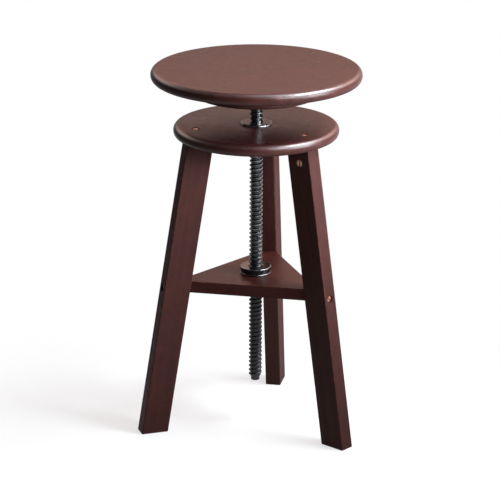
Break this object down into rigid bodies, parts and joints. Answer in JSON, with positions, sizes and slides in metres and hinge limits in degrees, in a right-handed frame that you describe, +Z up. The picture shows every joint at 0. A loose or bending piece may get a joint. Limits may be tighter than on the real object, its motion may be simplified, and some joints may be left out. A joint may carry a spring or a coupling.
{
  "type": "artist stool",
  "caption": "Wooden artist stool: round seat on a coarse steel screw that turns to set its height, over splayed legs with a top disc and a triangular shelf that guides the screw.",
  "frame": {"origin": "on the floor, on the screw's axis, midway between the feet", "axes": "+Z up along the screw's axis, +Y towards the back leg, +X to the right as seen from the front"},
  "size_m": [0.348, 0.3594, 0.5845],
  "materials": {
    "stained_wood": "dark brown stain under semi-gloss lacquer",
    "bare_wood": "plain turned beech",
    "black_steel": "blackened, lightly oiled",
    "zinc_steel": "zinc plated",
    "copper_plate": "copper-coloured plating on steel bolts",
    "nylon": "black nylon"
  },
  "bodies": {
    "base": {"base_top_disc": "stained_wood", "upper_flange_nut": "black_steel", "upper_washer": "black_steel", "upper_ring_nut": "black_steel", "leg_back": "stained_wood", "leg_left": "stained_wood", "leg_right": "stained_wood", "shelf": "stained_wood", "shelf_sleeve": "black_steel", "shelf_washer": "black_steel", "shelf_ring_nut": "black_steel", "leg_bolts": "copper_plate", "leg_barrel_nuts": "copper_plate", "leg_dowels": "bare_wood", "shelf_bolts": "copper_plate", "shelf_barrel_nuts": "copper_plate"},
    "guide": {"guide_bush": "nylon"},
    "seat_screw": {"seat": "stained_wood", "seat_cleat": "stained_wood", "lead_screw": "black_steel", "screw_plate": "black_steel", "plate_screws": "zinc_steel", "cleat_screws": "zinc_steel"}
  },
  "joints": [
    {"name": "seat_turn", "type": "hinge", "parent": "base", "child": "guide", "pos_m": [0, 0, 0.245], "axis": [0, 0, 1], "range_deg": [-2160, 7920]},
    {"name": "seat_lift", "type": "slide", "parent": "guide", "child": "seat_screw", "axis": [0, 0, 1], "range_m": [-0.0421, 0.1541]}
  ],
  "couplings": [
    {"joint": "seat_lift", "follows": "seat_turn", "m_per_rad": 0.0011141}
  ]
}
